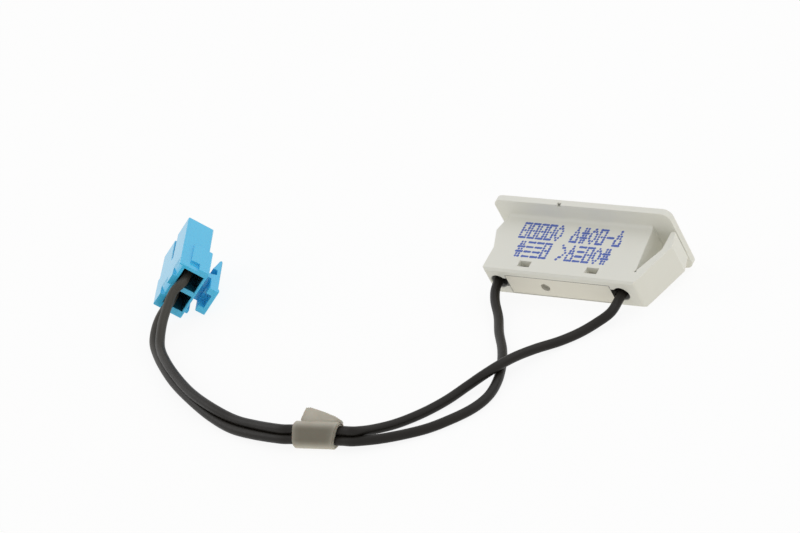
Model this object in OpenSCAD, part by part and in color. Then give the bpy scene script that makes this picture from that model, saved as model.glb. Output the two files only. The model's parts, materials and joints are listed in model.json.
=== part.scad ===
// Door reed switch: snap-in housing with a glass reed capsule inside,
// two insulated wires, a band of tape and a two-way latching plug.
// +X runs along the flange, the wires leave towards -Y, +Z is up.

/* [Flange] */
// Length of the flange
flange_l = 47; // [45:0.5:60]
// Height of the flange
flange_h = 18; // [14:0.5:26]
// Thickness of the flange
flange_t = 1.8; // [1:0.1:2.2]
// Corner radius of the flange
flange_r = 2.2; // [0.8:0.1:3]
// Bevel round the front of the flange
flange_bevel = 0.3; // [0.1:0.05:0.6]
// Hollow radius where the body meets the flange
root_r = 1; // [0.3:0.1:1.2]
// Size of the gate mark on the flange's upper edge
gate_s = 1.5; // [0.8:0.1:1.8]
// Distance of the gate mark from the flange's middle
gate_x = 5.4; // [3:0.1:8]

/* [Body] */
// Length of the body at its rear face
body_l = 40.2; // [39:0.2:42]
// Height of the body from the underside to the printed face
body_h = 8.3; // [7.8:0.1:12]
// Depth from the front of the flange to the rear face
body_d = 18.3; // [17:0.05:24]
// Bevel along the rear edges
body_bevel = 0.5; // [0.2:0.05:0.8]

/* [Fixed catch] */
// How far the catch stands out from the end of the body
catch_rise = 1.8; // [0.8:0.1:2.4]
// Step of the catch beside the flange
catch_foot = 0.4; // [0.1:0.1:0.7]
// Depth of the catch's peak behind the front of the flange
catch_peak = 6.7; // [5:0.1:8]
// Length of the lead-in ramp of the catch
catch_ramp = 5; // [3:0.1:7]

/* [Snap arm] */
// Thickness of the arm at its peak
arm_t = 2.1; // [1.6:0.05:2.4]
// How far the arm's peak stands out from the end of the body
arm_rise = 4.9; // [3.6:0.1:5.2]
// Depth of the arm's peak behind the front of the flange
arm_peak = 6.7; // [5:0.1:8]
// How far the locking slope comes back in at the tip
arm_lock = 1.05; // [0.2:0.05:1.2]
// Free space between the arm's tip and the flange
arm_clear = 0.8; // [0.5:0.1:1.6]
// Depth of the solid root of the arm at the rear
arm_root = 3.6; // [2.5:0.1:4.5]
// Distance of the root of the gap from the end of the body
gap_root = 0.9; // [0.7:0.1:1.2]
// Distance of the gap's inner wall from the end of the body, at the flange
gap_w = 2.2; // [1.8:0.1:2.7]
// Radius at the root of the gap
gap_r = 0.3; // [0.15:0.05:0.4]

/* [Pocket] */
// Offset of the pocket's middle from the flange's middle, away from the arm
pocket_shift = 0.7; // [0:0.1:1.2]
// Length of the pocket behind the cover
pocket_l = 26; // [22:0.5:26.5]
// Height of the pocket
pocket_h = 4.8; // [4.2:0.1:5.2]
// Wall left between the pocket and the front of the flange
pocket_wall = 2.9; // [2.5:0.1:3.2]
// Length of the slots for the wires, end to end
slot_l = 35.4; // [34.8:0.2:35.8]
// Height of the wire slots
slot_h = 2.6; // [2.4:0.1:3]
// Flare at the mouth of a wire slot
slot_flare = 0.8; // [0.3:0.1:1]
// Thickness of the ribs that cradle the glass
rib_t = 1; // [0.6:0.1:1.5]
// Distance of each rib from the pocket's middle
rib_x = 4.4; // [2.5:0.1:5.5]

/* [Cover] */
// Length of the cover
cover_l = 28; // [27.5:0.1:29]
// Height of the cover
cover_h = 6; // [5.6:0.1:6.4]
// Thickness of the cover plate
cover_t = 1.5; // [1.1:0.1:1.8]
// Drop of the cover's middle below the middle of the rear face
cover_drop = 0.5; // [0.3:0.05:0.6]
// Clearance round the cover
cover_fit = 0.14; // [0.03:0.01:0.14]
// Length of the windows that take the cover's hooks
window_l = 3.2; // [2:0.1:4]
// Width of those windows
window_w = 1.7; // [1.3:0.1:2]
// Distance of the windows from the pocket's middle
window_x = 9; // [7:0.1:10.5]
// Thickness of the hook arms
hook_t = 0.7; // [0.5:0.05:0.9]
// How far a hook reaches into its window
hook_rise = 1.1; // [0.6:0.1:1.15]
// Clearance of a hook in its window
hook_fit = 0.15; // [0.1:0.01:0.25]
// Diameter of the dimple in the cover
dimple_d = 2.3; // [1.5:0.1:3]
// Depth of the dimple
dimple_h = 0.9; // [0.1:0.05:0.9]
// Distance of the dimple from the cover's middle
dimple_x = 4; // [2:0.1:8]

/* [Reed capsule] */
// Length of the glass tube
glass_l = 15.2; // [14:0.2:17]
// Diameter of the glass tube
glass_d = 2.5; // [2.1:0.05:2.8]
// Wall of the glass tube
glass_wall = 0.3; // [0.2:0.05:0.4]
// Length of glass melted round each lead
seal_l = 2; // [1.4:0.1:2.6]
// Depth of the capsule's axis behind the front of the flange
capsule_d = 5.3; // [4.9:0.1:5.6]
// Diameter of the reed's lead
lead_d = 0.6; // [0.45:0.05:0.7]
// Width of the flattened blade
blade_w = 1.2; // [0.8:0.05:1.3]
// Thickness of the flattened blade
blade_t = 0.2; // [0.14:0.02:0.26]
// Overlap of the two blades
blade_lap = 1; // [0.6:0.1:1.6]
// Gap between the open contacts
contact_gap = 0.12; // [0.1:0.01:0.16]
// Length of the taper from blade to lead
taper_l = 1; // [0.6:0.1:1.4]
// Play of a lead in its glass seal
seal_fit = 0.03; // [0.02:0.005:0.04]
// Clearance of the glass in its cradle
cradle_fit = 0.1; // [0.05:0.01:0.2]

/* [Splices and wires] */
// Distance of each wire from the pocket's middle
wire_x = 16.4; // [16.2:0.05:16.5]
// Diameter of the insulated wire
wire_d = 2.1; // [1.6:0.05:2.3]
// Diameter of the stripped core
core_d = 0.9; // [0.8:0.05:1]
// Radius of the bend in each lead
lead_bend = 1; // [0.6:0.1:1.2]
// Length of the lead after its bend
lead_end = 2.6; // [2:0.1:2.8]
// Diameter of the crimped splice
splice_d = 1.9; // [1.6:0.05:2.1]
// Length of the splice
splice_l = 5; // [4.4:0.1:5.4]
// Distance from the lead's bend to the splice
splice_gap = 0.6; // [0.3:0.1:1]
// Radial clearance of the core in the splice
splice_fit = 0.1; // [0.06:0.01:0.14]
// Length of core inside the splice
core_in = 2; // [1.4:0.1:2.2]
// Length of bare core between splice and insulation
core_bare = 0.8; // [0.4:0.1:1.2]

/* [Tape] */
// Width of the tape band along the wires
tape_w = 11; // [8:0.5:16]
// Thickness of the wound band
tape_t = 0.85; // [0.6:0.05:0.9]
// Thickness of the tail where two layers meet
tail_t = 0.5; // [0.3:0.05:0.9]
// Height of the tail above the wound band
tail_h = 2.7; // [1.5:0.1:4]

/* [Plug] */
// Length of the plug from the wire end to the mating end
plug_l = 22; // [22:0.25:28]
// Width of the plug across both circuits
plug_w = 13.5; // [13:0.1:15]
// Thickness of the plug without the latch
plug_t = 7.5; // [7.3:0.1:8.4]
// Distance between the two circuits
pitch = 6; // [5.9:0.05:6.2]
// Shift of the circuits towards the upper end
row_shift = 0.4; // [0.2:0.05:0.5]
// Width of a wire entry, across the circuits
entry_w = 4.6; // [4.2:0.1:4.7]
// Height of a wire entry, towards the latch
entry_t = 5; // [4.4:0.1:5.2]
// Depth of a wire entry
entry_d = 8.5; // [7:0.1:9]
// Depth of the undivided rear block
block_l = 10.8; // [10.2:0.1:12]
// Slot between the two front towers
tower_gap = 0.9; // [0.6:0.05:1]
// Set-back of the lower tower's end and outer side
tower_set = 1.1; // [0.6:0.1:1.3]
// Set-back of the towers on the latch side
tower_step = 0.7; // [0.4:0.05:0.9]
// Size of the square channel of a contact
channel = 3.2; // [3:0.05:3.4]
// Thickness of the front wall of a tower
tower_wall = 1.3; // [0.8:0.1:2]
// Size of the mating opening in a tower
mouth = 2; // [1.6:0.05:2.2]
// Height of the raised key on the upper end
key_h = 0.7; // [0.4:0.05:1]
// Length of that key
key_l = 7.8; // [6:0.1:9]
// Width of that key
key_w = 5; // [3:0.1:6]
// Length of the guide rib beside the latch
guide_l = 7; // [4:0.1:9]
// Depth of the bevelled recesses beside the wire entries
bevel_d = 0.9; // [0.4:0.05:1]
// Length of those recesses along the plug
bevel_l = 3.1; // [2:0.1:4]
// Width of those recesses
bevel_w = 3.3; // [2.5:0.1:3.6]
// Shift of those recesses from their wire entries, towards the upper end
bevel_v = 1.2; // [0:0.1:1.3]

/* [Latch] */
// Width of the latch lever
latch_w = 7.2; // [6:0.1:8]
// Length of the latch lever
latch_l = 14.4; // [13:0.1:16]
// Height of the lever's outer face above the plug's side
latch_h = 4.3; // [3.6:0.05:4.6]
// Thickness of the lever beside its hook
latch_t = 1; // [0.7:0.05:1.2]
// Free gap under the lever's thumb pad
latch_gap = 1.7; // [1:0.05:2]
// Height of the lip on the thumb pad
latch_lip = 0.35; // [0.15:0.05:0.6]
// Depth of the hook under the lever
hook_d = 1.2; // [0.8:0.05:1.3]
// Distance of the bridge from the wire end
bridge_x = 4.6; // [4.2:0.1:5]
// Length of the bridge along the plug
bridge_l = 2; // [1.4:0.1:2.4]

/* [Contacts] */
// Size of the square receptacle of a contact
box_s = 2.6; // [2.4:0.05:2.7]
// Sheet thickness of a contact
sheet = 0.3; // [0.2:0.05:0.35]
// Length of the receptacle
box_l = 7.2; // [6.4:0.1:7.4]
// Clearance of the wire in its crimp
crimp_fit = 0.08; // [0.05:0.01:0.12]
// Length of each crimp barrel
crimp_l = 2.4; // [1.8:0.1:2.8]
// Depth of the insulation's end inside the plug
strip_at = 7.5; // [7:0.1:7.8]

/* [Hidden] */
$fn = 48;
eps = 0.02;

// Rest attitude of the housing: flange's rear lower edge and body's rear lower edge on z = 0
tilt = atan((flange_h - body_h) / 2 / (body_d - flange_t));
arm_x = body_l / 2 + arm_rise;
rest_x = -max(0, arm_x - flange_l / 2) / 2;
rest_y = (body_d * cos(tilt) + (body_h / 2 - body_bevel) * sin(tilt) - flange_h / 2 * sin(tilt)) / 2;
rest_z = flange_t * sin(tilt) + flange_h / 2 * cos(tilt);

// Levels inside the body, measured from the middle of the rear face
pocket_z = -cover_drop;
window_d = body_d - cover_t - hook_fit;
splice_d0 = capsule_d + lead_bend + splice_gap;
wire_d0 = splice_d0 + splice_l + core_bare;

// Place of the plug: middle of its wire end, yaw of its axis, roll towards the latch,
// resting on its lower edge or on the edge of the thumb pad
plug_x = -93.5;
plug_y = -32;
plug_yaw = 120.5;
plug_roll = 135;
latch_v = row_shift + 0.3;
plug_at = [plug_x, plug_y, -min(turn_x([0, -plug_w / 2, plug_t / 2], plug_roll)[2],
    turn_x([0, latch_v - latch_w / 2, plug_t / 2 + latch_h], plug_roll)[2])];
row_v = [row_shift + pitch / 2, row_shift - pitch / 2];
row_u = -0.3;
entry_u = 0.5;

// Stretch of both wires inside the tape: middle of the lower wire, yaw, lean of the upper wire
tape_at = [-27.3, -72.6, wire_d / 2 + tape_t + 0.05];
tape_yaw = 8.53;
tape_lean = 55;
tape_fit = 0.05;
tape_pitch = wire_d + 0.02;

// Free routes of the wires on the table, from the housing to the plug
route_left_a = [[-16.1, -14.9, 2.5], [-12.6, -19.6, 1.4], [-9.1, -25.1, 1.1], [-4.6, -31.1, 1.1],
    [-1.1, -37.1, 1.1], [1.4, -43.1, 1.1], [2.4, -48.6, 1.1], [1.4, -53.6, 1.1], [-1.6, -58.6, 1.1],
    [-5.6, -63.1, 1.1], [-12.1, -68.1, 1.5]];
route_left_b = [[-45.1, -73.2, 1.4], [-52.2, -71.8, 1.1], [-60.1, -68.7, 1.1], [-68.6, -64.3, 1.1],
    [-77.3, -59.1, 1.1], [-84.7, -53.7, 1.1], [-90.7, -48.6, 1.1], [-94.4, -44.6, 1.5],
    [-96.4, -40.5, 2.6], [-96.6, -37.3, 4.1]];
route_right_a = [[14.8, -14.9, 2.6], [12.6, -18.1, 1.6], [10.2, -21.7, 1.1], [7.4, -25.8, 1.2],
    [4.2, -30.4, 1.9], [2.3, -35.3, 2.9], [0.7, -39.6, 3.3], [-1.4, -43.6, 2.9],
    [-3.8, -47.3, 2], [-6.3, -52.1, 1.3], [-9.3, -57.3, 1.1], [-12.8, -62.3, 1.3], [-15.9, -66.5, 2.2]];
route_right_b = [[-44.8, -71.6, 2.85], [-51.7, -70.2, 2.45], [-59.7, -67.9, 3.1], [-68.4, -63.9, 3.2],
    [-76.9, -58.5, 3.1], [-84.2, -53, 3.1], [-89, -48.4, 3.4], [-91.6, -43.4, 5.2],
    [-92.9, -38.6, 7.2], [-93.2, -34.5, 9.1]];

// Points of the pose frames, in the part's own frame
function turn_x(p, a) = [p[0], p[1] * cos(a) - p[2] * sin(a), p[1] * sin(a) + p[2] * cos(a)];
function turn_z(p, a) = [p[0] * cos(a) - p[1] * sin(a), p[0] * sin(a) + p[1] * cos(a), p[2]];
function in_housing(x, d, z) = [rest_x, rest_y, rest_z] + turn_x([x, -d, z], tilt);
function in_plug(a, v, u) = plug_at + turn_z(turn_x([a, v, u], plug_roll), plug_yaw);
function in_tape(s, k) = tape_at + turn_z([s, k * tape_pitch * cos(tape_lean),
    k * tape_pitch * sin(tape_lean)], tape_yaw);
function in_wire_start(side) = [for (d = [wire_d0, wire_d0 + 2.6, body_d + 1.5])
    in_housing(side * wire_x - pocket_shift, d, 0)];
function in_wire_tape(k) = [for (s = [tape_w / 2 + 4, tape_w / 2 + 0.5, 0, -tape_w / 2 - 0.5, -tape_w / 2 - 4])
    in_tape(s, k)];

function in_contact(row) = [for (a = [strip_at - crimp_l - 1.6, strip_at - crimp_l - 0.4, strip_at])
    in_plug(a, row_v[row], row_u)];

path_left = concat(in_wire_start(-1), route_left_a, in_wire_tape(0), route_left_b,
    [in_plug(-0.6, row_v[1] - 1, row_u - 0.4)], in_contact(1));
path_right = concat(in_wire_start(1), route_right_a, in_wire_tape(1), route_right_b,
    [in_plug(0, row_v[0] - 0.8, row_u - 0.3)], in_contact(0));

// Smooth curve through points, and a tube of eight sides swept along it
function smooth(a, b, c, d, t) = 0.5 * (2 * b + (c - a) * t + (2 * a - 5 * b + 4 * c - d) * t * t
    + (3 * b - a - 3 * c + d) * t * t * t);
function curve(p, i, t) = smooth(i == 0 ? 2 * p[0] - p[1] : p[i - 1], p[i], p[i + 1],
    i + 2 < len(p) ? p[i + 2] : 2 * p[i + 1] - p[i], t);
function steps(p, i) = max(1, round(norm(p[i + 1] - p[i]) / 5.2));
function route(p) = concat([for (i = [0 : len(p) - 2], k = [0 : steps(p, i) - 1]) curve(p, i, k / steps(p, i))],
    [p[len(p) - 1]]);
function unit(v) = v / norm(v);

module tube(points, d, sides = 8) {
    n = len(points);
    rings = [for (i = [0 : n - 1])
        let (t = unit(points[min(i + 1, n - 1)] - points[max(i - 1, 0)]),
             s = unit(cross(t, [0, 0, 1])), u = cross(s, t))
        for (k = [0 : sides - 1])
            points[i] + d / 2 * (cos(360 * (k + 0.5) / sides) * s + sin(360 * (k + 0.5) / sides) * u)];
    walls = [for (i = [0 : n - 2], k = [0 : sides - 1]) let (m = (k + 1) % sides)
        [i * sides + k, i * sides + m, (i + 1) * sides + m, (i + 1) * sides + k]];
    polyhedron(rings, concat(walls, [[for (k = [sides - 1 : -1 : 0]) k]],
        [[for (k = [0 : sides - 1]) (n - 1) * sides + k]]), convexity = 10);
}

module at_rest() { translate([rest_x, rest_y, rest_z]) rotate([tilt, 0, 0]) children(); }
module at_pocket() { at_rest() translate([-pocket_shift, 0, 0]) children(); }
module at_plug() { translate(plug_at) rotate([plug_roll, 0, plug_yaw]) children(); }
module at_capsule() { at_pocket() translate([0, -capsule_d, 0]) children(); }

// Prism through the body: outline in depth and height, drawn along X
module along_x(l) { rotate([90, 0, -90]) linear_extrude(l, center = true) children(); }
// Prism towards the rear, from depth d0 to d1: outline in X and Z
module rearward(d0, d1) { translate([0, -d0, 0]) rotate([90, 0, 0]) linear_extrude(d1 - d0) children(); }

// Flange with round corners and a bevelled front
module flange() {
    fx = flange_l / 2;
    fz = flange_h / 2;
    for (i = [-1, 1], j = [-1, 1]) translate([i * (fx - flange_r), 0, j * (fz - flange_r)]) rotate([90, 0, 0]) {
        cylinder(flange_bevel, flange_r - flange_bevel, flange_r);
        translate([0, 0, flange_bevel]) cylinder(flange_t - flange_bevel, r = flange_r);
    }
    along_x(flange_l - 2 * flange_r) polygon([[0, bevelled(fz)], [flange_bevel, fz], [flange_t, fz],
        [flange_t, -fz], [flange_bevel, -fz], [0, -bevelled(fz)]]);
    linear_extrude(flange_h - 2 * flange_r, center = true) polygon([[-bevelled(fx), 0], [-fx, -flange_bevel],
        [-fx, -flange_t], [fx, -flange_t], [fx, -flange_bevel], [bevelled(fx), 0]]);
}
function bevelled(h) = h - flange_bevel;

// Plan of the body with the fixed catch at one end and the snap arm at the other
module body_plan() {
    e = body_l / 2;
    tip = flange_t + arm_clear;
    difference() {
        polygon([[-e - catch_foot, -flange_t / 2], [-e - catch_foot, -flange_t], [-e - catch_rise, -catch_peak],
            [-e, -catch_peak - catch_ramp], [-e, body_bevel - body_d], [body_bevel - e, -body_d],
            [e - body_bevel, -body_d], [e + body_bevel / 2, body_bevel - body_d], [e + 1.4, 3 - body_d],
            [arm_x, -arm_peak], [arm_x - arm_lock, -tip], [arm_x - arm_t, -tip],
            [arm_x - arm_t, -arm_peak - arm_lock], [e - gap_root, arm_root - body_d], [e - gap_w, -flange_t],
            [e - gap_w, -flange_t / 2]]);
        translate([e - gap_root, arm_root - body_d]) circle(gap_r);
    }
}

module body_block() {
    h = body_h / 2;
    intersection() {
        linear_extrude(body_h, center = true) body_plan();
        along_x(2 * flange_l) polygon([[flange_t / 2, -h], [body_d - body_bevel, -h], [body_d, body_bevel - h],
            [body_d, h - body_bevel], [body_d - body_bevel, h], [flange_t / 2, h]]);
    }
}

// Hollow radii along the body's upper and lower face, beside the flange
module root_radii() {
    for (j = [0, 1]) mirror([0, 0, j]) translate([-(catch_foot + gap_w) / 2, 0, 0])
        along_x(body_l + catch_foot - gap_w) difference() {
            translate([flange_t - eps, body_h / 2 - eps]) square(root_r + eps);
            translate([flange_t + root_r, body_h / 2 + root_r]) circle(root_r);
        }
}

// Pocket for the capsule, rebate for the cover, wire slots with flared mouths, windows for the hooks
module pocket() {
    s = slot_l / 2 - slot_h / 2;
    translate([0, 0, pocket_z]) {
        rearward(pocket_wall, body_d + 1) square([pocket_l, pocket_h], center = true);
        rearward(body_d - cover_t, body_d + 1) square([cover_l, cover_h], center = true);
    }
    rearward(capsule_d - lead_d, body_d + 1) {
        square([2 * s, slot_h], center = true);
        for (i = [-1, 1]) translate([i * s, 0]) circle(d = slot_h);
    }
    for (i = [-1, 1]) translate([i * s, -body_d, 0]) rotate([-90, 0, 0])
        translate([0, 0, -eps]) cylinder(slot_flare + eps, slot_h / 2 + slot_flare, slot_h / 2);
    for (i = [-1, 1]) translate([i * window_x, window_w / 2 - window_d, 0])
        cube([window_l, window_w, body_h + 1], center = true);
}

// Ribs on the pocket's front wall with round seats for the glass
module cradle() {
    for (i = [-1, 1]) translate([i * rib_x, 0, 0]) difference() {
        along_x(rib_t) translate([pocket_wall - eps, pocket_z - pocket_h / 2 - eps])
            square([capsule_d - pocket_wall + glass_d / 4, pocket_h + 2 * eps]);
        translate([0, -capsule_d, 0]) {
            rotate([0, 90, 0]) cylinder(rib_t + 1, d = glass_d + 2 * cradle_fit, center = true);
            translate([-rib_t, -glass_d, -glass_d / 2 - cradle_fit]) cube([2 * rib_t, glass_d, glass_d + 2 * cradle_fit]);
        }
    }
}

module housing() {
    color("#e9eae4") at_rest() {
        difference() {
            union() { flange(); body_block(); root_radii(); }
            translate([-pocket_shift, 0, 0]) pocket();
            translate([-gate_x, -flange_t, flange_h / 2]) cube([gate_s * 0.7, gate_s, gate_s], center = true);
        }
        translate([-pocket_shift, 0, 0]) cradle();
    }
}

// Snap hook of the cover: arm along the pocket's wall with a barb in the window
module cover_hook(wall_z) {
    r = window_d - hook_fit;
    f = window_d - window_w + hook_fit;
    z = wall_z - hook_fit;
    along_x(window_l - 2 * hook_fit) polygon([[body_d - cover_t + eps, z - hook_t], [body_d - cover_t + eps, z],
        [r, z], [r, z + hook_rise + hook_fit], [r - 0.3, z + hook_rise + hook_fit], [f, z], [f, z - hook_t]]);
}

module rear_cover() {
    color("#dfddd2") at_pocket() translate([0, 0, pocket_z]) {
        difference() {
            rearward(body_d - cover_t, body_d)
                square([cover_l - 2 * cover_fit, cover_h - 2 * cover_fit], center = true);
            translate([-dimple_x, -body_d - eps, 0]) rotate([-90, 0, 0]) cylinder(dimple_h + eps, d = dimple_d);
        }
        for (i = [-1, 1], j = [0, 1]) translate([i * window_x, 0, 0]) mirror([0, 0, j]) cover_hook(pocket_h / 2);
    }
}

// Sealed glass tube, turned about its axis
module glass_tube() {
    r = glass_d / 2;
    e = glass_d / 5;
    c = glass_l / 2 - seal_l;
    b = lead_d / 2 + seal_fit;
    color("#9fb8a8") at_capsule() rotate([0, 90, 0]) rotate_extrude() difference() {
        union() {
            translate([0, -glass_l / 2]) square([r - e, glass_l]);
            translate([0, e - glass_l / 2]) square([r, glass_l - 2 * e]);
            for (j = [-1, 1]) translate([r - e, j * (glass_l / 2 - e)]) circle(e);
        }
        polygon([[-1, -c], [b, -c], [r - glass_wall, glass_wall * 2 - c], [r - glass_wall, c - glass_wall * 2], [b, c], [-1, c]]);
        translate([-1, -glass_l]) square([1 + b, 2 * glass_l]);
    }
}

// One reed: flattened blade in the glass, round lead out of the seal and bent to the rear
module reed() {
    s = glass_l / 2 - seal_l;
    z = contact_gap / 2;
    translate([-blade_lap / 2, -blade_w / 2, z]) cube([s - taper_l + blade_lap / 2 - 0.3, blade_w, blade_t]);
    hull() {
        translate([s - taper_l - 0.35, -blade_w / 2, z]) cube([0.05, blade_w, blade_t]);
        translate([s - 0.35, 0, 0]) rotate([0, 90, 0]) cylinder(0.05, d = lead_d, $fn = 24);
    }
    translate([s - 0.32, 0, 0]) rotate([0, 90, 0]) cylinder(wire_x - lead_bend - s + 0.32, d = lead_d);
    translate([wire_x - lead_bend, -lead_bend, 0]) rotate_extrude(angle = 90) translate([lead_bend, 0]) circle(d = lead_d);
    translate([wire_x, -lead_bend, 0]) rotate([90, 0, 0]) cylinder(lead_end, d = lead_d);
}
module reed_right() { color("#b9b4a6") at_capsule() reed(); }
module reed_left() { color("#b9b4a6") at_capsule() rotate([0, 180, 0]) reed(); }

// Crimped splice between lead and core, with two crimp grooves
module splice(side) {
    color("#c9c4b4") at_pocket() translate([side * wire_x, -splice_d0, 0]) rotate([90, 0, 0]) difference() {
        cylinder(splice_l, d = splice_d);
        translate([0, 0, -splice_l / 2]) cylinder(2 * splice_l, d = core_d + 2 * splice_fit);
        for (k = [0.28, 0.72]) translate([0, splice_d * 0.62, splice_l * k]) rotate([0, 90, 0])
            cylinder(splice_d * 2, d = splice_d * 0.5, center = true);
    }
}
module splice_left() { splice(-1); }
module splice_right() { splice(1); }

// Stripped cores at both ends of a wire
module cores(side, row) {
    color("#c58a5c") {
        at_pocket() translate([side * wire_x, core_in + core_bare - wire_d0, 0]) rotate([90, 0, 0])
            cylinder(core_in + core_bare, d = core_d);
        at_plug() translate([strip_at, row_v[row], row_u]) rotate([0, 90, 0]) cylinder(crimp_l + 1.2, d = core_d);
    }
}
module cores_left() { cores(-1, 1); }
module cores_right() { cores(1, 0); }

module wire_left() { color("#22211f") tube(route(path_left), wire_d); }
module wire_right() { color("#22211f") tube(route(path_right), wire_d); }

// Wound band round both wires, with a tail where its ends are stuck together
module tape_band() {
    r = wire_d / 2 + tape_fit;
    color("#a9a59b") translate(tape_at) rotate([0, 0, tape_yaw]) rotate([90, 0, 90]) rotate([0, 0, tape_lean]) {
        linear_extrude(tape_w, center = true) difference() {
            band_section(r + tape_t);
            band_section(r);
        }
        translate([tape_pitch + r + tape_t / 2, 0, 0]) rotate([90, 0, 0]) linear_extrude(tail_t, center = true)
            polygon([[0, 0.5 - tape_w / 2], [tape_t / 2 + tail_h, 1.6 - tape_w / 2], [tape_t / 2 + tail_h, 2.6 - tape_w / 2],
                [tape_t / 2 + tail_h * 0.55, 1], [tape_t / 2, tape_w / 2 - 1], [0, tape_w / 2 - 1]]);
    }
}
module band_section(r) {
    circle(r);
    translate([tape_pitch, 0]) circle(r);
    translate([0, -r]) square([tape_pitch, 2 * r]);
}

// Plug: X from the wire end to the mating end, Y across the circuits, Z towards the latch
module plug_block() {
    w = plug_w / 2;
    t = plug_t / 2;
    translate([0, -w, -t]) cube([block_l, plug_w, plug_t]);
    difference() {
        translate([block_l - 1, tower_set - w, -t]) cube([plug_l - block_l + 1, plug_w - tower_set, plug_t - tower_step]);
        translate([block_l, row_shift - tower_gap / 2, -plug_t]) cube([plug_l, tower_gap, 2 * plug_t]);
        translate([plug_l - tower_set, -plug_w, -plug_t]) cube([plug_l, plug_w + row_shift, 2 * plug_t]);
    }
    translate([block_l - key_l - 0.6, w - eps, t - key_w]) cube([key_l, key_h + eps, key_w]);
    translate([0, w - eps, t - key_w * 0.56]) cube([key_l / 2, key_h + eps, key_w * 0.56]);
    translate([guide_l / 5, 1.2 - w, t - eps]) cube([guide_l, 1.3, 0.9 + eps]);
}

module plug_cavities() {
    t = plug_t / 2;
    for (v = row_v) translate([0, v, row_u]) {
        translate([-1, -entry_w / 2, entry_u - row_u - entry_t / 2]) cube([entry_d + 1, entry_w, entry_t]);
        translate([entry_d - 1, -channel / 2, -channel / 2]) cube([plug_l - tower_wall - tower_set - entry_d + 1, channel, channel]);
        translate([entry_d, -mouth / 2, -mouth / 2]) cube([plug_l, mouth, mouth]);
        translate([0, bevel_v, -row_u - t]) rotate([90, 0, 0]) linear_extrude(bevel_w, center = true)
            polygon([[-1, -1], [-1, bevel_d], [0, bevel_d], [bevel_l, -eps], [bevel_l, -1]]);
    }
}

// See-saw latch on a bridge: hollow thumb pad over the wire end, hook towards the mating end
module latch() {
    t = plug_t / 2;
    o = t + latch_h;
    i = t + latch_gap;
    catch_x = latch_l - 5;
    translate([0, latch_v, 0]) difference() {
        rotate([90, 0, 0]) linear_extrude(latch_w, center = true) polygon([[0, i], [0, o], [1.3, o], [1.5, o - latch_lip],
            [latch_l - 0.4, o - latch_lip], [latch_l, o - latch_lip - 0.3], [latch_l, o - latch_lip - 0.7],
            [catch_x, o - latch_lip - latch_t - hook_d], [catch_x, o - latch_lip - latch_t],
            [bridge_x + bridge_l + 0.7, o - latch_lip - latch_t], [bridge_x + bridge_l, i], [bridge_x + bridge_l, t - eps],
            [bridge_x, t - eps], [bridge_x, i]]);
        translate([-1, -1.9, i - 1]) cube([4.2, 3.8, 1 + o - i - 1.1]);
    }
}

module plug_housing() {
    color("#5fb4dd") at_plug() {
        difference() {
            plug_block();
            plug_cavities();
        }
        latch();
    }
}

// Crimped contact: barrels for insulation and core, floor strip, receptacle with a lance
module contact(row) {
    core_r = core_d / 2 + crimp_fit;
    wire_r = wire_d / 2 + crimp_fit;
    floor_z = -wire_r - sheet;
    box_x = strip_at + crimp_l + 2.2;
    color("#d9cfa8") at_plug() translate([0, row_v[row], row_u]) {
        translate([strip_at - crimp_l - 0.3, 0, 0]) rotate([0, 90, 0]) difference() {
            cylinder(crimp_l, r = wire_r + sheet);
            translate([0, 0, -1]) cylinder(crimp_l + 2, r = wire_r);
        }
        translate([strip_at + 0.7, 0, 0]) rotate([0, 90, 0]) difference() {
            cylinder(crimp_l, r = core_r + sheet);
            translate([0, 0, -1]) cylinder(crimp_l + 2, r = core_r);
        }
        translate([strip_at - crimp_l - 0.3, -0.6, floor_z]) cube([box_x + 1 - strip_at + crimp_l + 0.3, 1.2, sheet]);
        translate([strip_at + 0.7, -0.3, floor_z]) cube([crimp_l, 0.6, -floor_z - core_r]);
        translate([box_x, 0, 0]) difference() {
            translate([0, -box_s / 2, -box_s / 2]) cube([box_l, box_s, box_s]);
            translate([-box_l / 2, sheet - box_s / 2, sheet - box_s / 2])
                cube([2 * box_l, box_s - 2 * sheet, box_s - 2 * sheet]);
        }
    }
}
module contact_upper() { contact(0); }
module contact_lower() { contact(1); }

housing();
rear_cover();
glass_tube();
reed_left();
reed_right();
splice_left();
splice_right();
wire_left();
wire_right();
cores_left();
cores_right();
tape_band();
plug_housing();
contact_upper();
contact_lower();
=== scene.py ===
import json
import math

import bmesh
import bpy
from mathutils import Matrix, Vector, noise


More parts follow.
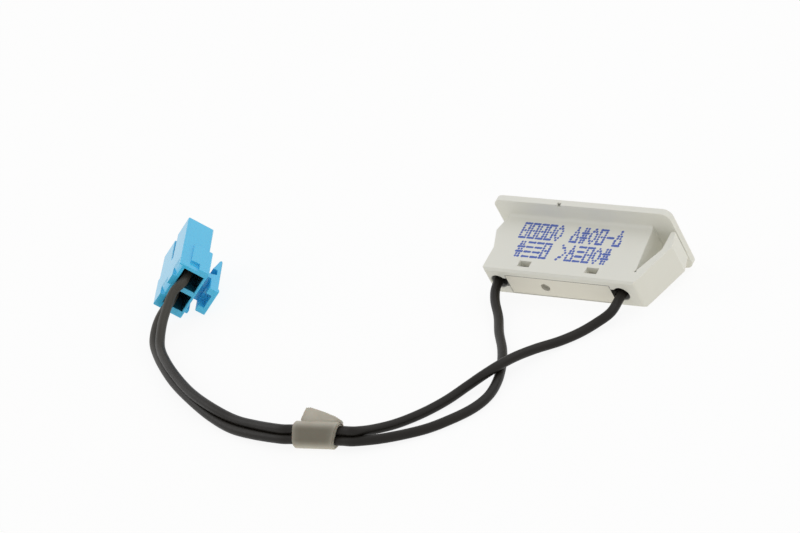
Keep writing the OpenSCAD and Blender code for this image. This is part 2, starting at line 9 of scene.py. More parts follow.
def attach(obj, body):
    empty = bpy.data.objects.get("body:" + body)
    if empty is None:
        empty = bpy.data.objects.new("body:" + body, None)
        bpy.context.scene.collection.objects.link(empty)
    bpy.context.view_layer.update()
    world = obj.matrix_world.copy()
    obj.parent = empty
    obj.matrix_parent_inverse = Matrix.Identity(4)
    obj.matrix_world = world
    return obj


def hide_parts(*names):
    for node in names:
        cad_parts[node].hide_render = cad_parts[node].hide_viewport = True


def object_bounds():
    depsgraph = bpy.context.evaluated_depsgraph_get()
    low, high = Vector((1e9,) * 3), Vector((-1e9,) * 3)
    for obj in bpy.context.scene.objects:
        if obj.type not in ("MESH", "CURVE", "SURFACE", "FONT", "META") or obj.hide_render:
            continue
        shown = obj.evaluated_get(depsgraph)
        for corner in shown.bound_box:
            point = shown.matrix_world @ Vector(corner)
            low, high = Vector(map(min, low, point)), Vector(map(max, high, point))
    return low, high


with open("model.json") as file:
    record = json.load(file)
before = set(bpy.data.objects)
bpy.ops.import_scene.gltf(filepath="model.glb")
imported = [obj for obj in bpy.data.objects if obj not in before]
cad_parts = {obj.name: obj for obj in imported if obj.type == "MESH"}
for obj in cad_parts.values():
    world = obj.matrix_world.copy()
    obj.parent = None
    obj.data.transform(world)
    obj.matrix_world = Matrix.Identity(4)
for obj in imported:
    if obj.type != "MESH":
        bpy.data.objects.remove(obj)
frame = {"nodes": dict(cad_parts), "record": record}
cad_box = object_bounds()

# Camera: a long lens from about three quarters of a metre, on the wire side of the housing.
# It looks down on the table and is rolled a little, as a small part is shot by hand.
MM = 0.001
scene = bpy.context.scene
azimuth, elevation, roll = (math.radians(a) for a in (41.04, 28.22, -16.44))
back = Vector((math.sin(azimuth) * math.cos(elevation), -math.cos(azimuth) * math.cos(elevation),
               math.sin(elevation)))
level = Vector((math.cos(azimuth), math.sin(azimuth), 0))
above = back.cross(level)
view_right = math.cos(roll) * level + math.sin(roll) * above
view_up = math.cos(roll) * above - math.sin(roll) * level
camera = bpy.data.objects.new("long_lens", bpy.data.cameras.new("long_lens"))
camera.data.lens = 153
camera.data.sensor_width = 36
aside, raised, away = -43.06, 3.23, 770.51
stand = (aside * view_right + raised * view_up + away * back) * MM
camera.matrix_world = Matrix.Translation(stand) @ Matrix((view_right, view_up, back)).transposed().to_4x4()
scene.collection.objects.link(camera)
scene.camera = camera

# Table and light: a white sheet on a light table, under one large soft box behind the part and a
# smaller one at either side. The sheet is white to the eye and still takes a soft shadow.
scene.view_settings.view_transform = "Standard"


def seen_directly(tree):
    """Sum of the camera, glossy and transmission flags of a ray."""
    path = tree.nodes.new("ShaderNodeLightPath")
    first = tree.nodes.new("ShaderNodeMath")
    second = tree.nodes.new("ShaderNodeMath")
    second.use_clamp = True
    tree.links.new(path.outputs["Is Camera Ray"], first.inputs[0])
    tree.links.new(path.outputs["Is Glossy Ray"], first.inputs[1])
    tree.links.new(first.outputs[0], second.inputs[0])
    tree.links.new(path.outputs["Is Transmission Ray"], second.inputs[1])
    return second.outputs[0]


world = bpy.data.worlds.new("studio")
scene.world = world
world.use_nodes = True
tree = world.node_tree
tree.nodes.clear()
ambient = tree.nodes.new("ShaderNodeBackground")
ambient.inputs["Strength"].default_value = 0.82
backdrop = tree.nodes.new("ShaderNodeBackground")
backdrop.inputs["Color"].default_value = (1, 1, 1, 1)
pick = tree.nodes.new("ShaderNodeMixShader")
tree.links.new(seen_directly(tree), pick.inputs[0])
tree.links.new(ambient.outputs[0], pick.inputs[1])
tree.links.new(backdrop.outputs[0], pick.inputs[2])
tree.links.new(pick.outputs[0], tree.nodes.new("ShaderNodeOutputWorld").inputs[0])

paper = bpy.data.materials.new("white_sheet")
paper.use_nodes = True
tree = paper.node_tree
tree.nodes.clear()
matt = tree.nodes.new("ShaderNodeBsdfDiffuse")
matt.inputs["Color"].default_value = (0.95, 0.95, 0.94, 1)
glow = tree.nodes.new("ShaderNodeEmission")
warmth = tree.nodes.new("ShaderNodeMix")
warmth.data_type = "RGBA"
warmth.inputs["A"].default_value = (1, 0.97, 0.88, 1)
warmth.inputs["B"].default_value = (1, 1, 1, 1)
share = tree.nodes.new("ShaderNodeMapRange")
share.inputs["To Min"].default_value = 0.62
share.inputs["To Max"].default_value = 0.89
pick = tree.nodes.new("ShaderNodeMixShader")
seen = seen_directly(tree)
tree.links.new(seen, share.inputs["Value"])
tree.links.new(seen, warmth.inputs["Factor"])
tree.links.new(warmth.outputs["Result"], glow.inputs["Color"])
tree.links.new(share.outputs["Result"], pick.inputs[0])
tree.links.new(matt.outputs[0], pick.inputs[1])
tree.links.new(glow.outputs[0], pick.inputs[2])
tree.links.new(pick.outputs[0], tree.nodes.new("ShaderNodeOutputMaterial").inputs[0])

table_size = 1600 * MM
bpy.ops.mesh.primitive_plane_add(size=table_size)
table = bpy.context.object
table.name = "white_table"
table.data.materials.append(paper)

part_middle = (cad_box[0] + cad_box[1]) / 2
for name, place, width, watts in (("top_box", (0.3, 0.32, 0.64), 0.8, 1.4),
                                  ("left_box", (-0.62, -0.15, 0.42), 0.5, 0.75),
                                  ("right_box", (0.62, -0.1, 0.36), 0.5, 0.15)):
    lamp = bpy.data.objects.new(name, bpy.data.lights.new(name, "AREA"))
    lamp.data.size = width
    lamp.data.energy = watts
    lamp.location = part_middle + Vector(place)
    lamp.rotation_euler = Vector(place).to_track_quat("Z", "Y").to_euler()
    lamp.visible_camera = False
    scene.collection.objects.link(lamp)

# Housing: one moulding in white plastic, with its flange, the body behind it, the fixed catch
# at one end and the springy snap arm at the other. Its edges have the small radii of the mould.


def moulded(node, name, radius, long_radius=0, long_edge=0):
    """Copy of a solid, its faces merged and its edges rounded, the long outer ones more than the rest."""
    flat, outer_corner, corner, crease = (math.radians(a) for a in (0.4, 60, 35, 40))
    mesh = frame["nodes"][node].data.copy()
    shape = bmesh.new()
    shape.from_mesh(mesh)
    bmesh.ops.remove_doubles(shape, verts=shape.verts, dist=0.001 * MM)
    bmesh.ops.dissolve_limit(shape, angle_limit=flat, verts=shape.verts, edges=shape.edges)
    shape.normal_update()
    outer = [e for e in shape.edges if len(e.link_faces) == 2 and e.is_convex
             and e.calc_length() > long_edge and e.calc_face_angle() > outer_corner]
    if long_radius:
        bmesh.ops.bevel(shape, geom=outer, offset=long_radius, segments=3, profile=0.5, affect="EDGES",
                        clamp_overlap=True)
    shape.to_mesh(mesh)
    shape.free()
    if "custom_normal" in mesh.attributes:
        mesh.attributes.remove(mesh.attributes["custom_normal"])
    mesh.materials.clear()
    piece = bpy.data.objects.new(name, mesh)
    scene.collection.objects.link(piece)
    edges = piece.modifiers.new("edges", "BEVEL")
    edges.width = radius
    edges.segments = 3
    edges.limit_method = "ANGLE"
    edges.angle_limit = corner
    edges.miter_outer = "MITER_ARC"
    finished(piece)
    piece.data.shade_smooth()
    piece.data.set_sharp_from_angle(angle=crease)
    flats = piece.modifiers.new("flats", "WEIGHTED_NORMAL")
    flats.weight = 100
    flats.keep_sharp = True
    finished(piece)
    return piece


def finished(piece):
    """Turns the modifiers of a piece into plain mesh."""
    dressed = piece.evaluated_get(bpy.context.evaluated_depsgraph_get())
    mesh = bpy.data.meshes.new_from_object(dressed)
    piece.modifiers.clear()
    piece.data = mesh
    mesh.name = piece.name


def plastic(name, colour, shade, rough, grain, glow_depth, painted_shade_tone):
    """Moulded plastic: clouded colour, painted shade in its seams and entries, satin patches and a fine eroded grain.
    """
    made = bpy.data.materials.new(name)
    made.use_nodes = True
    nodes, links = made.node_tree.nodes, made.node_tree.links
    surface = nodes["Principled BSDF"]
    place = nodes.new("ShaderNodeTexCoord")
    clouds = nodes.new("ShaderNodeTexNoise")
    clouds.inputs["Scale"].default_value = 140
    clouds.inputs["Detail"].default_value = 3
    tint = nodes.new("ShaderNodeMix")
    tint.data_type = "RGBA"
    tint.inputs["A"].default_value = (*colour, 1)
    tint.inputs["B"].default_value = (*(c * shade for c in colour), 1)
    inside = nodes.new("ShaderNodeAttribute")
    inside.attribute_name = "recess"
    # The recess mark mixes painted shade into the colour, for seams and entries.
    seam = nodes.new("ShaderNodeMix")
    seam.data_type = "RGBA"
    seam.inputs["B"].default_value = (*(c * painted_shade_tone for c in colour), 1)
    patches = nodes.new("ShaderNodeTexNoise")
    patches.inputs["Scale"].default_value = 1100
    satin = nodes.new("ShaderNodeMapRange")
    satin.inputs["To Min"].default_value = 0.8 * rough
    satin.inputs["To Max"].default_value = 1.2 * rough
    pits = nodes.new("ShaderNodeTexNoise")
    pits.inputs["Scale"].default_value = 5200
    pits.inputs["Detail"].default_value = 4
    relief = nodes.new("ShaderNodeBump")
    relief.inputs["Strength"].default_value = grain
    relief.inputs["Distance"].default_value = 0.03 * MM
    for texture in (clouds, patches, pits):
        links.new(place.outputs["Object"], texture.inputs["Vector"])
    links.new(clouds.outputs["Fac"], tint.inputs["Factor"])
    links.new(inside.outputs["Fac"], seam.inputs["Factor"])
    links.new(tint.outputs["Result"], seam.inputs["A"])
    links.new(seam.outputs["Result"], surface.inputs["Base Color"])
    links.new(patches.outputs["Fac"], satin.inputs["Value"])
    links.new(satin.outputs["Result"], surface.inputs["Roughness"])
    links.new(pits.outputs["Fac"], relief.inputs["Height"])
    links.new(relief.outputs["Normal"], surface.inputs["Normal"])
    surface.inputs["Subsurface Weight"].default_value = glow_depth
    surface.inputs["Subsurface Radius"].default_value = (1, 0.9, 0.8)
    surface.inputs["Subsurface Scale"].default_value = 0.8 * MM
    return made


def paint_recess_shade(piece, share):
    """Marks how much painted shade each point of a piece gets in a seam or an entry, from 0 to 1."""
    mark = piece.data.attributes.new("recess", "FLOAT", "POINT")
    for vert, value in zip(piece.data.vertices, mark.data):
        value.value = share(vert.co)


seat = next(m for m in frame["record"]["mounts"] if m["name"] == "sensing_face")
flange_middle, flange_out = Vector(seat["pos_m"]), Vector(seat["axis"]).normalized()
along = Vector((1, 0, 0))
face_up = along.cross(flange_out)
body_depth, pocket_shift = 18.3, 0.7
rebate_depth, rebate_half, rebate_low, rebate_high = 1.5, 18.5, -3.55, 2.55
dimple_x, dimple_height, dimple_d, dimple_rim, dimple_shade = -4.7, -0.5, 2.3, 0.3, 0.35
gate_x, gate_half, gate_depth, gate_shade = -5.4, 0.6, 1, 0.7
flange_t, flange_half, lip, wall_slack = 1.8, 9, 0.03, 0.1


def in_rebate(point):
    """Painted shade: 1 on the walls of the rebate and the wire notches, less in the gate mark and the dimple."""
    x, out, height = ((point - flange_middle).dot(axis) / MM for axis in (along, flange_out, face_up))
    behind_rear = body_depth + out
    if math.hypot(x - dimple_x, height - dimple_height) < dimple_d / 2 + dimple_rim:
        return dimple_shade * (behind_rear > lip)
    if (abs(x - gate_x) < gate_half and lip < flange_t + out < gate_depth
            and lip < flange_half - height < gate_depth):
        return gate_shade
    return float(lip < behind_rear < rebate_depth + wall_slack and abs(x + pocket_shift) < rebate_half
                 and rebate_low < height < rebate_high)


housing = moulded("housing", "moulded_housing", 0.16 * MM, 0.25 * MM, 7 * MM)
# Painted shade darkens the rebate, the wire notches, the gate mark and the dimple.
paint_recess_shade(housing, in_rebate)
housing.data.materials.append(plastic("white_moulding", (0.77, 0.765, 0.70), 0.97, 0.45, 0.25, 0.1, 0.12))
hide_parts("housing")
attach(housing, "assembly")

# Printed marks: two rows of plain dot-matrix shapes in blue ink on the upper face of the body.
# Each dot is a thin drop of ink, a little larger or smaller than the next.


def in_housing(x, depth, height):
    """Point by its distance along the flange, behind the flange's front and above its middle."""
    return flange_middle + MM * (x * along - depth * flange_out + height * face_up)


printed_height = 4.15
glyphs = {
    "bars": ("11111", "00000", "11111", "00000", "11111", "00000", "11111"),
    "peak": ("00100", "00100", "01010", "01010", "10001", "10001", "11111"),
    "gem": ("00100", "01010", "10001", "10001", "10001", "01010", "00100"),
    "grid": ("01010", "01010", "11111", "01010", "11111", "01010", "01010"),
    "dash": ("00000", "00000", "00000", "11111", "00000", "00000", "00000"),
    "frame": ("11111", "10001", "10001", "10101", "10001", "10001", "11111"),
    "right": ("10000", "01100", "00010", "00001", "00010", "01100", "10000"),
    "gap": ("00000",) * 7,
}
print_rows = (
    (-15, 3.9, "frame frame frame frame gem gap peak grid gem frame dash peak"),
    (-13.7, 9.4, "grid bars bars frame gap right peak bars frame gem grid"),
)
glyph_step, dot_across, dot_down = 2.28, 0.37, 0.7
drop_radius, drop_thickness = 0.33, 0.02
drops = []
for start, depth, words in print_rows:
    for i, word in enumerate(words.split()):
        for j, line in enumerate(glyphs[word]):
            for k, bit in enumerate(line):
                if bit == "1":
                    drops.append(in_housing(start + i * glyph_step + k * dot_across, depth + j * dot_down,
                                            printed_height))

ink = bpy.data.materials.new("blue_ink")
ink.use_nodes = True
nodes, links = ink.node_tree.nodes, ink.node_tree.links
wash = nodes.new("ShaderNodeTexNoise")
wash.inputs["Scale"].default_value = 1800
ramp = nodes.new("ShaderNodeMix")
ramp.data_type = "RGBA"
ramp.inputs["A"].default_value = (0.045, 0.085, 0.38, 1)
ramp.inputs["B"].default_value = (0.12, 0.19, 0.53, 1)
links.new(nodes.new("ShaderNodeTexCoord").outputs["Object"], wash.inputs["Vector"])
links.new(wash.outputs["Fac"], ramp.inputs["Factor"])
links.new(ramp.outputs["Result"], nodes["Principled BSDF"].inputs["Base Color"])
nodes["Principled BSDF"].inputs["Roughness"].default_value = 0.5

sprayed = bpy.data.node_groups.new("ink_drops", "GeometryNodeTree")
sprayed.interface.new_socket("Geometry", in_out="INPUT", socket_type="NodeSocketGeometry")
radius_socket = sprayed.interface.new_socket("Drop radius", in_out="INPUT", socket_type="NodeSocketFloat")
thick_socket = sprayed.interface.new_socket("Drop thickness", in_out="INPUT", socket_type="NodeSocketFloat")
sprayed.interface.new_socket("Geometry", in_out="OUTPUT", socket_type="NodeSocketGeometry")
nodes, links = sprayed.nodes, sprayed.links
given = nodes.new("NodeGroupInput")
drop = nodes.new("GeometryNodeMeshCylinder")
drop.inputs["Vertices"].default_value = 10
spread = nodes.new("GeometryNodeInstanceOnPoints")
tip = face_up.to_track_quat("Z", "X").to_euler()
spread.inputs["Rotation"].default_value = tip
size = nodes.new("FunctionNodeRandomValue")
size.inputs[2].default_value = 0.86
size.inputs[3].default_value = 1.16
size.inputs["Seed"].default_value = 4
whole = nodes.new("GeometryNodeRealizeInstances")
coat = nodes.new("GeometryNodeSetMaterial")
coat.inputs["Material"].default_value = ink
links.new(given.outputs["Drop radius"], drop.inputs["Radius"])
links.new(given.outputs["Drop thickness"], drop.inputs["Depth"])
links.new(given.outputs["Geometry"], spread.inputs["Points"])
links.new(drop.outputs["Mesh"], spread.inputs["Instance"])
links.new(size.outputs[1], spread.inputs["Scale"])
links.new(spread.outputs["Instances"], whole.inputs["Geometry"])
links.new(whole.outputs["Geometry"], coat.inputs["Geometry"])
links.new(coat.outputs["Geometry"], nodes.new("NodeGroupOutput").inputs[0])

mesh = bpy.data.meshes.new("printed_marks")
mesh.from_pydata(drops, [], [])
marks = bpy.data.objects.new("printed_marks", mesh)
scene.collection.objects.link(marks)
spray = marks.modifiers.new("spray", "NODES")
spray.node_group = sprayed
spray[radius_socket.identifier] = drop_radius * MM
spray[thick_socket.identifier] = drop_thickness * MM
finished(marks)
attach(marks, "assembly")

# Reed capsule: a sealed glass tube on two ribs of the pocket, with a plated spring blade from
# each end. A crimped sleeve joins each blade's lead to the stripped core of its wire.


def metal(name, colour, rough, streaks):
    """Drawn or rolled metal with fine streaks along one axis."""
    made = bpy.data.materials.new(name)
    made.use_nodes = True
    nodes, links = made.node_tree.nodes, made.node_tree.links
    surface = nodes["Principled BSDF"]
    surface.inputs["Metallic"].default_value = 1
    turn = nodes.new("ShaderNodeMapping")
    turn.inputs["Scale"].default_value = streaks
    lines = nodes.new("ShaderNodeTexNoise")
    lines.inputs["Scale"].default_value = 900
    tint = nodes.new("ShaderNodeMix")
    tint.data_type = "RGBA"
    tint.inputs["A"].default_value = (*colour, 1)
    tint.inputs["B"].default_value = (*(0.82 * c for c in colour), 1)
    polish = nodes.new("ShaderNodeMapRange")
    polish.inputs["To Min"].default_value = rough - 0.1
    polish.inputs["To Max"].default_value = rough + 0.1
    relief = nodes.new("ShaderNodeBump")
    relief.inputs["Strength"].default_value = 0.2
    relief.inputs["Distance"].default_value = 0.01 * MM
    links.new(nodes.new("ShaderNodeTexCoord").outputs["Object"], turn.inputs["Vector"])
    links.new(turn.outputs["Vector"], lines.inputs["Vector"])
    links.new(lines.outputs["Fac"], tint.inputs["Factor"])
    links.new(tint.outputs["Result"], surface.inputs["Base Color"])
    links.new(lines.outputs["Fac"], polish.inputs["Value"])
    links.new(polish.outputs["Result"], surface.inputs["Roughness"])
    links.new(lines.outputs["Fac"], relief.inputs["Height"])
    links.new(relief.outputs["Normal"], surface.inputs["Normal"])
    return made


def dress(node, finish):
    """Gives a solid its finish."""
    slots = frame["nodes"][node].data.materials
    slots.clear()
    slots.append(finish)


glass = bpy.data.materials.new("sealed_glass")
glass.use_nodes = True
nodes, links = glass.node_tree.nodes, glass.node_tree.links
melt = nodes.new("ShaderNodeTexNoise")
melt.inputs["Scale"].default_value = 600
haze = nodes.new("ShaderNodeMapRange")
haze.inputs["To Min"].default_value = 0.01
haze.inputs["To Max"].default_value = 0.07
links.new(nodes.new("ShaderNodeTexCoord").outputs["Object"], melt.inputs["Vector"])
links.new(melt.outputs["Fac"], haze.inputs["Value"])
links.new(haze.outputs["Result"], nodes["Principled BSDF"].inputs["Roughness"])
nodes["Principled BSDF"].inputs["Base Color"].default_value = (0.72, 0.86, 0.76, 1)
nodes["Principled BSDF"].inputs["Transmission Weight"].default_value = 1
nodes["Principled BSDF"].inputs["IOR"].default_value = 1.5
dress("glass_tube", glass)
plated = metal("plated_reed", (0.62, 0.60, 0.56), 0.28, (0.1, 1, 1))
tinned = metal("tinned_sleeve", (0.72, 0.70, 0.65), 0.34, (1, 0.15, 1))
copper = metal("bare_copper", (0.78, 0.44, 0.27), 0.3, (1, 0.12, 1))
for side in ("left", "right"):
    dress("reed_" + side, plated)
    dress("splice_" + side, tinned)
    dress("cores_" + side, copper)

# Rear cover: a separate lid in a slightly warmer plastic, snapped into the rear of the body
# between the two wire notches, with the round dimple of its ejector pin.
cover = moulded("rear_cover", "snap_in_cover", 0.18 * MM)
# Painted shade darkens the cover's edges in the rebate and its dimple.
paint_recess_shade(cover, in_rebate)
cover.data.materials.append(plastic("cover_moulding", (0.80, 0.775, 0.685), 0.96, 0.45, 0.25, 0.08, 0.12))
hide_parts("rear_cover")
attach(cover, "assembly")

# Wires: two black insulated leads that leave the housing's notches, cross once, run side by
# side through the tape, pressed together, and end in the crimps of the plug. The jackets are
# greyer near the plug, with painted light.
wire_d, jacket_give = 2.1, 0.06
wire_x, insulation_start = 16.4, 12.7
plug_end = next(m for m in frame["record"]["mounts"] if m["name"] == "plug_mating_end")
plug_front, plug_axis = Vector(plug_end["pos_m"]), Vector(plug_end["axis"]).normalized()
plug_roll = math.radians(135)
plug_side = math.cos(plug_roll) * Vector((0, 0, 1)).cross(plug_axis) + Vector((0, 0, math.sin(plug_roll)))
plug_latch = plug_axis.cross(plug_side)
plug_length, row_shift, row_pitch, row_height, strip_at, crimp_l = 22, 0.4, 6, -0.3, 7.5, 2.4


def in_plug(along_axis, across, towards_latch):
    """Point by its distance from the wire end, across the circuits and towards the latch."""
    return plug_front + MM * ((along_axis - plug_length) * plug_axis + (across - row_shift) * plug_side
                              + towards_latch * plug_latch)


tape_at = Vector((-27.3, -72.6, 1.95)) * MM
tape_yaw, tape_lean, tape_pitch, tape_w = math.radians(8.53), math.radians(55), 2.12, 11
tape_along = Vector((math.cos(tape_yaw), math.sin(tape_yaw), 0))
tape_lift = math.cos(tape_lean) * Vector((0, 0, 1)).cross(tape_along) + Vector((0, 0, math.sin(tape_lean)))
tape_out = tape_along.cross(tape_lift)


def in_tape(s, lift, out):
    """Point by its distance along the tape, from the lower wire to the upper one and outwards."""
    return tape_at + MM * (s * tape_along + lift * tape_lift + out * tape_out)


def lead_path(side, layer, row, from_housing, to_plug, entry):
    """Points of one wire in order, from its splice to its crimp."""
    x = side * wire_x - pocket_shift
    across = row_shift + row * row_pitch / 2
    points = [in_housing(x, d, 0) for d in (insulation_start, insulation_start + 2.6, body_depth + 1.5)]
    points += [Vector(p) * MM for p in from_housing]
    points += [in_tape(s, layer * tape_pitch, 0)
               for s in (tape_w / 2 + 4, tape_w / 2 + 0.5, 0, -tape_w / 2 - 0.5, -tape_w / 2 - 4)]
    points += [Vector(p) * MM for p in to_plug]
    points.append(in_plug(entry[0], across + entry[1], entry[2]))
    return points + [in_plug(a, across, row_height)
                     for a in (strip_at - crimp_l - 1.6, strip_at - crimp_l - 0.4, strip_at)]


def smooth_line(points, steps=8):
    """Smooth curve through points."""
    ends = [2 * points[0] - points[1], *points, 2 * points[-1] - points[-2]]
    line = []
    for a, b, c, d in zip(ends, ends[1:], ends[2:], ends[3:]):
        for t in (k / steps for k in range(steps)):
            line.append(0.5 * (2 * b + (c - a) * t + (2 * a - 5 * b + 4 * c - d) * t ** 2
                               + (3 * b - a - 3 * c + d) * t ** 3))
    return line + [points[-1]]


jacket = bpy.data.materials.new("black_jacket")
jacket.use_nodes = True
nodes, links = jacket.node_tree.nodes, jacket.node_tree.links
surface = nodes["Principled BSDF"]
place = nodes.new("ShaderNodeTexCoord")
dust = nodes.new("ShaderNodeTexNoise")
dust.inputs["Scale"].default_value = 260
dust.inputs["Detail"].default_value = 5
tint = nodes.new("ShaderNodeMix")
tint.data_type = "RGBA"
tint.inputs["A"].default_value = (0.0035, 0.0028, 0.002, 1)
tint.inputs["B"].default_value = (0.014, 0.0115, 0.0085, 1)
plug_rear = plug_front - plug_length * MM * plug_axis
from_plug = nodes.new("ShaderNodeVectorMath")
from_plug.operation = "DISTANCE"
from_plug.inputs[1].default_value = plug_rear
# Painted light: the jacket is greyed within a few centimetres of the plug.
near_plug_light = nodes.new("ShaderNodeMapRange")
near_plug_light.inputs["From Min"].default_value = 8 * MM
near_plug_light.inputs["From Max"].default_value = 30 * MM
near_plug_light.inputs["To Min"].default_value = 1
near_plug_light.inputs["To Max"].default_value = 0
plug_light_tint = nodes.new("ShaderNodeMix")
plug_light_tint.data_type = "RGBA"
plug_light_tint.inputs["B"].default_value = (0.05, 0.046, 0.038, 1)
draw = nodes.new("ShaderNodeTexNoise")
draw.inputs["Scale"].default_value = 1500
satin = nodes.new("ShaderNodeMapRange")
satin.inputs["To Min"].default_value = 0.34
satin.inputs["To Max"].default_value = 0.52
relief = nodes.new("ShaderNodeBump")
relief.inputs["Strength"].default_value = 0.2
relief.inputs["Distance"].default_value = 0.03 * MM
for texture in (dust, draw):
    links.new(place.outputs["Object"], texture.inputs["Vector"])
links.new(dust.outputs["Fac"], tint.inputs["Factor"])
links.new(place.outputs["Object"], from_plug.inputs[0])
links.new(from_plug.outputs["Value"], near_plug_light.inputs["Value"])
links.new(near_plug_light.outputs["Result"], plug_light_tint.inputs["Factor"])
links.new(tint.outputs["Result"], plug_light_tint.inputs["A"])
links.new(plug_light_tint.outputs["Result"], surface.inputs["Base Color"])
links.new(draw.outputs["Fac"], satin.inputs["Value"])
links.new(satin.outputs["Result"], surface.inputs["Roughness"])
links.new(draw.outputs["Fac"], relief.inputs["Height"])
links.new(relief.outputs["Normal"], surface.inputs["Normal"])
surface.inputs["Specular IOR Level"].default_value = 0.25


def wire(name, points):
    """Round insulated wire along a smooth line."""
    line = smooth_line(points)
    curve = bpy.data.curves.new(name, "CURVE")
    curve.dimensions = "3D"
    spline = curve.splines.new("POLY")
    spline.points.add(len(line) - 1)
    for point, at in zip(spline.points, line):
        point.co = (*at, 1)
    curve.bevel_depth = (wire_d / 2 + jacket_give) * MM
    curve.bevel_resolution = 6
    curve.use_fill_caps = True
    curve.materials.append(jacket)
    lead = bpy.data.objects.new(name, curve)
    scene.collection.objects.link(lead)
    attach(lead, "assembly")
    return lead, sum((b - a).length for a, b in zip(line, line[1:]))


lower_run = ((-16.1, -14.9, 2.5), (-12.6, -19.6, 1.4), (-9.1, -25.1, 1.1), (-4.6, -31.1, 1.1), (-1.1, -37.1, 1.1),
             (1.4, -43.1, 1.1), (2.4, -48.6, 1.1), (1.4, -53.6, 1.1), (-1.6, -58.6, 1.1), (-5.6, -63.1, 1.1),
             (-12.1, -68.1, 1.5))
lower_end = ((-45.1, -73.2, 1.4), (-52.2, -71.8, 1.1), (-60.1, -68.7, 1.1), (-68.6, -64.3, 1.1), (-77.3, -59.1, 1.1),
             (-84.7, -53.7, 1.1), (-90.7, -48.6, 1.1), (-94.4, -44.6, 1.5), (-96.4, -40.5, 2.6), (-96.6, -37.3, 4.1))
upper_run = ((14.8, -14.9, 2.6), (12.6, -18.1, 1.6), (10.2, -21.7, 1.1), (7.4, -25.8, 1.2), (4.2, -30.4, 1.9),
             (2.3, -35.3, 2.9), (0.7, -39.6, 3.3), (-1.4, -43.6, 2.9), (-3.8, -47.3, 2), (-6.3, -52.1, 1.3),
             (-9.3, -57.3, 1.1), (-12.8, -62.3, 1.3), (-15.9, -66.5, 2.2))
upper_end = ((-44.8, -71.6, 2.85), (-51.7, -70.2, 2.45), (-59.7, -67.9, 3.1), (-68.4, -63.9, 3.2), (-76.9, -58.5, 3.1),
             (-84.2, -53, 3.1), (-89, -48.4, 3.4), (-91.6, -43.4, 5.2), (-92.9, -38.6, 7.2), (-93.2, -34.5, 9.1))
left_lead, left_length = wire("left_lead", lead_path(-1, 0, -1, lower_run, lower_end, (-0.6, -1, -0.7)))
right_lead, right_length = wire("right_lead", lead_path(1, 1, 1, upper_run, upper_end, (0, -0.8, -0.6)))
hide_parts("wire_left")
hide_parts("wire_right")

# Tape band: a few turns of grey adhesive tape round both wires. Its turns don't quite line up,
# and its ends are stuck together in a tail that was torn off against a serrated blade.
tape_wrap = bpy.data.materials.new("grey_tape")
tape_wrap.use_nodes = True
nodes, links = tape_wrap.node_tree.nodes, tape_wrap.node_tree.links
surface = nodes["Principled BSDF"]
place = nodes.new("ShaderNodeTexCoord")
mottle = nodes.new("ShaderNodeTexNoise")
mottle.inputs["Scale"].default_value = 420
mottle.inputs["Detail"].default_value = 4
tint = nodes.new("ShaderNodeMix")
tint.data_type = "RGBA"
tint.inputs["A"].default_value = (0.46, 0.43, 0.36, 1)
tint.inputs["B"].default_value = (0.58, 0.55, 0.47, 1)
flat_side_shade = nodes.new("ShaderNodeAttribute")
flat_side_shade.attribute_name = "flat_side_shade"
# Painted shade on the flat sides of the band, mixed in by the attribute.
side_shade_mix = nodes.new("ShaderNodeMix")
side_shade_mix.data_type = "RGBA"
side_shade_mix.inputs["B"].default_value = (0.085, 0.072, 0.043, 1)
crepe = nodes.new("ShaderNodeTexNoise")
crepe.inputs["Scale"].default_value = 2600
crepe.inputs["Detail"].default_value = 3
relief = nodes.new("ShaderNodeBump")
relief.inputs["Strength"].default_value = 0.3
relief.inputs["Distance"].default_value = 0.04 * MM
for texture in (mottle, crepe):
    links.new(place.outputs["Object"], texture.inputs["Vector"])
links.new(mottle.outputs["Fac"], tint.inputs["Factor"])
links.new(flat_side_shade.outputs["Fac"], side_shade_mix.inputs["Factor"])
links.new(tint.outputs["Result"], side_shade_mix.inputs["A"])
links.new(side_shade_mix.outputs["Result"], surface.inputs["Base Color"])
links.new(crepe.outputs["Fac"], relief.inputs["Height"])
links.new(relief.outputs["Normal"], surface.inputs["Normal"])
surface.inputs["Roughness"].default_value = 0.55
surface.inputs["Subsurface Weight"].default_value = 0.1
surface.inputs["Subsurface Scale"].default_value = 0.5 * MM

# The wound turns: a stepped profile across the tape, swept round the two wires. The flat sides
# between the wires are darkened with painted shade, less towards the tape's edges.
tape_inside, tape_t, turns, arc_steps = wire_d / 2 + 0.05, 0.85, 4, 20
loop = [(centre, math.radians(start + 180 * i / arc_steps))
        for centre, start in ((tape_pitch, -90), (0, 90)) for i in range(arc_steps + 1)]
edge_shift, far_shift = (0.12, 0.42, 0.05, 0.3), 0.1
flat_half, flat_steps = 0.46, 12
ripple_depth, slant, side_shade_most = 0.05, 0.26, 0.85
layers = [(tape_inside + tape_t * (k + j) / turns, tape_w / 2 - edge_shift[k]) for k in range(turns) for j in (0, 1)]
across = [(tape_inside + tape_t, tape_w * flat_half * (1 - 2 * k / flat_steps)) for k in range(flat_steps + 1)]
profile = layers + across + [(radius, far_shift - s) for radius, s in layers[::-1]]
wound = bmesh.new()
dark = wound.verts.layers.float.new("flat_side_shade")
rings = []
for centre, turn in loop:
    ring = []
    for radius, s in profile:
        ripple = ripple_depth * noise.noise(Vector((s * 0.5, centre + math.cos(turn), math.sin(turn) * 1.5)))
        reach = radius + ripple * (radius - tape_inside) / tape_t
        lift = centre + reach * math.cos(turn)
        askew = slant * (lift - tape_pitch) * max(0, s) / (tape_w / 2)
        vert = wound.verts.new(in_tape(s + askew, lift, reach * math.sin(turn)))
        # Painted shade: strongest on the flat sides, less towards the tape's edges.
        vert[dark] = side_shade_most * abs(math.sin(turn)) ** 3 * (1 - 0.5 * (2 * s / tape_w) ** 8)
        ring.append(vert)
    rings.append(ring)
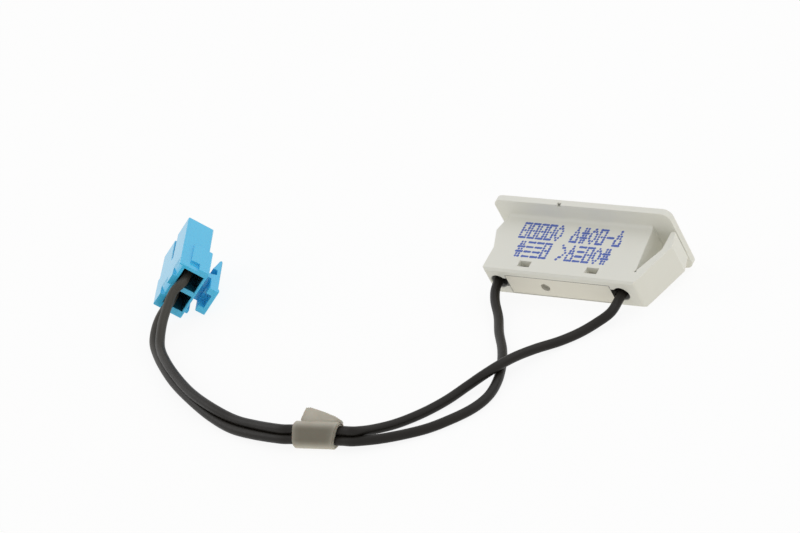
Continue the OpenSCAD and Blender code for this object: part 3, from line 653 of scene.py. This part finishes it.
for ring, following in zip(rings, rings[1:] + rings[:1]):
    for k in range(len(profile)):
        j = (k + 1) % len(profile)
        wound.faces.new((ring[k], ring[j], following[j], following[k]))

# The tail: two layers stuck together, cut by the teeth of the blade and curled a little.
# It stands up from the turns over the upper wire.
tail_root, tail_t, tail_rows = tape_pitch + tape_inside + tape_t * 0.6, 0.34, 5
teeth, tooth, curl = 40, 0.14, 0.4
torn_edge = ((-3.9, 4.3), (-2.7, 6.8), (-1.6, 6.9), (0, 6.5), (1.9, 6), (4.6, 5.1), (6.3, 4.2))


def torn_height(s):
    """Height of the torn edge above the lower wire."""
    for (s0, h0), (s1, h1) in zip(torn_edge, torn_edge[1:]):
        if s <= s1:
            return h0 + (h1 - h0) * (s - s0) / (s1 - s0)
    return torn_edge[-1][1]


sheets = []
for half in (-0.5, 0.5):
    sheet = []
    for i in range(teeth + 1):
        s = torn_edge[0][0] + (torn_edge[-1][0] - torn_edge[0][0]) * i / teeth
        top = torn_height(s) + tooth * (i % 2)
        rows = (k / (tail_rows - 1) for k in range(tail_rows))
        sheet.append([wound.verts.new(in_tape(s, tail_root + (top - tail_root) * t, curl * t * t + half * tail_t))
                      for t in rows])
    sheets.append(sheet)
near, far = sheets
for a, b in zip(range(teeth), range(1, teeth + 1)):
    for k in range(tail_rows - 1):
        wound.faces.new((near[a][k], near[b][k], near[b][k + 1], near[a][k + 1]))
        wound.faces.new((far[a][k], far[a][k + 1], far[b][k + 1], far[b][k]))
    wound.faces.new((near[a][-1], near[b][-1], far[b][-1], far[a][-1]))
    wound.faces.new((near[a][0], far[a][0], far[b][0], near[b][0]))
for k in range(tail_rows - 1):
    for end in (0, -1):
        wound.faces.new((near[end][k], near[end][k + 1], far[end][k + 1], far[end][k]))
bmesh.ops.recalc_face_normals(wound, faces=wound.faces)
mesh = bpy.data.meshes.new("wound_tape")
wound.to_mesh(mesh)
wound.free()
mesh.shade_smooth()
mesh.set_sharp_from_angle(angle=math.radians(40))
mesh.materials.append(tape_wrap)
band = bpy.data.objects.new("wound_tape", mesh)
scene.collection.objects.link(band)
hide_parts("tape_band")
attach(band, "assembly")

# Contacts: two stamped and folded sheet-metal receptacles in the plug, each crimped round the
# jacket and the bare core of its wire.
stamped = metal("tinned_sheet", (0.6, 0.56, 0.45), 0.4, (0.3, 0.3, 1))
for row in ("upper", "lower"):
    dress("contact_" + row, stamped)

# Plug: one moulding in sky-blue plastic, two towers with wire entries behind them and a see-saw
# latch lever on a bridge along one side. The plastic lets a little light through, and the
# entries are darkened inside with painted shade.
plug = moulded("plug_housing", "latching_plug", 0.1 * MM, 0.35 * MM, 4 * MM)
entry_width, entry_height, entry_middle, tower_set = 4.6, 5, 0.5, 1.1
entry_lip, entry_slack = 0.02, 0.05


def in_entry(point):
    """Painted shade: 1 on the walls of the two wire entries."""
    reach = (point - plug_front) / MM
    depth = reach.dot(plug_axis) + plug_length
    sideways = abs(abs(reach.dot(plug_side)) - row_pitch / 2)
    upwards = abs(reach.dot(plug_latch) - entry_middle)
    return float(entry_lip < depth < plug_length - tower_set - entry_lip
                 and sideways < entry_width / 2 + entry_slack and upwards < entry_height / 2 + entry_slack)


# Painted shade darkens the walls of the wire entries.
paint_recess_shade(plug, in_entry)
plug.data.materials.append(plastic("blue_moulding", (0.07, 0.55, 0.87), 0.95, 0.12, 0.01, 0.05, 0.16))
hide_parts("plug_housing")
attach(plug, "assembly")
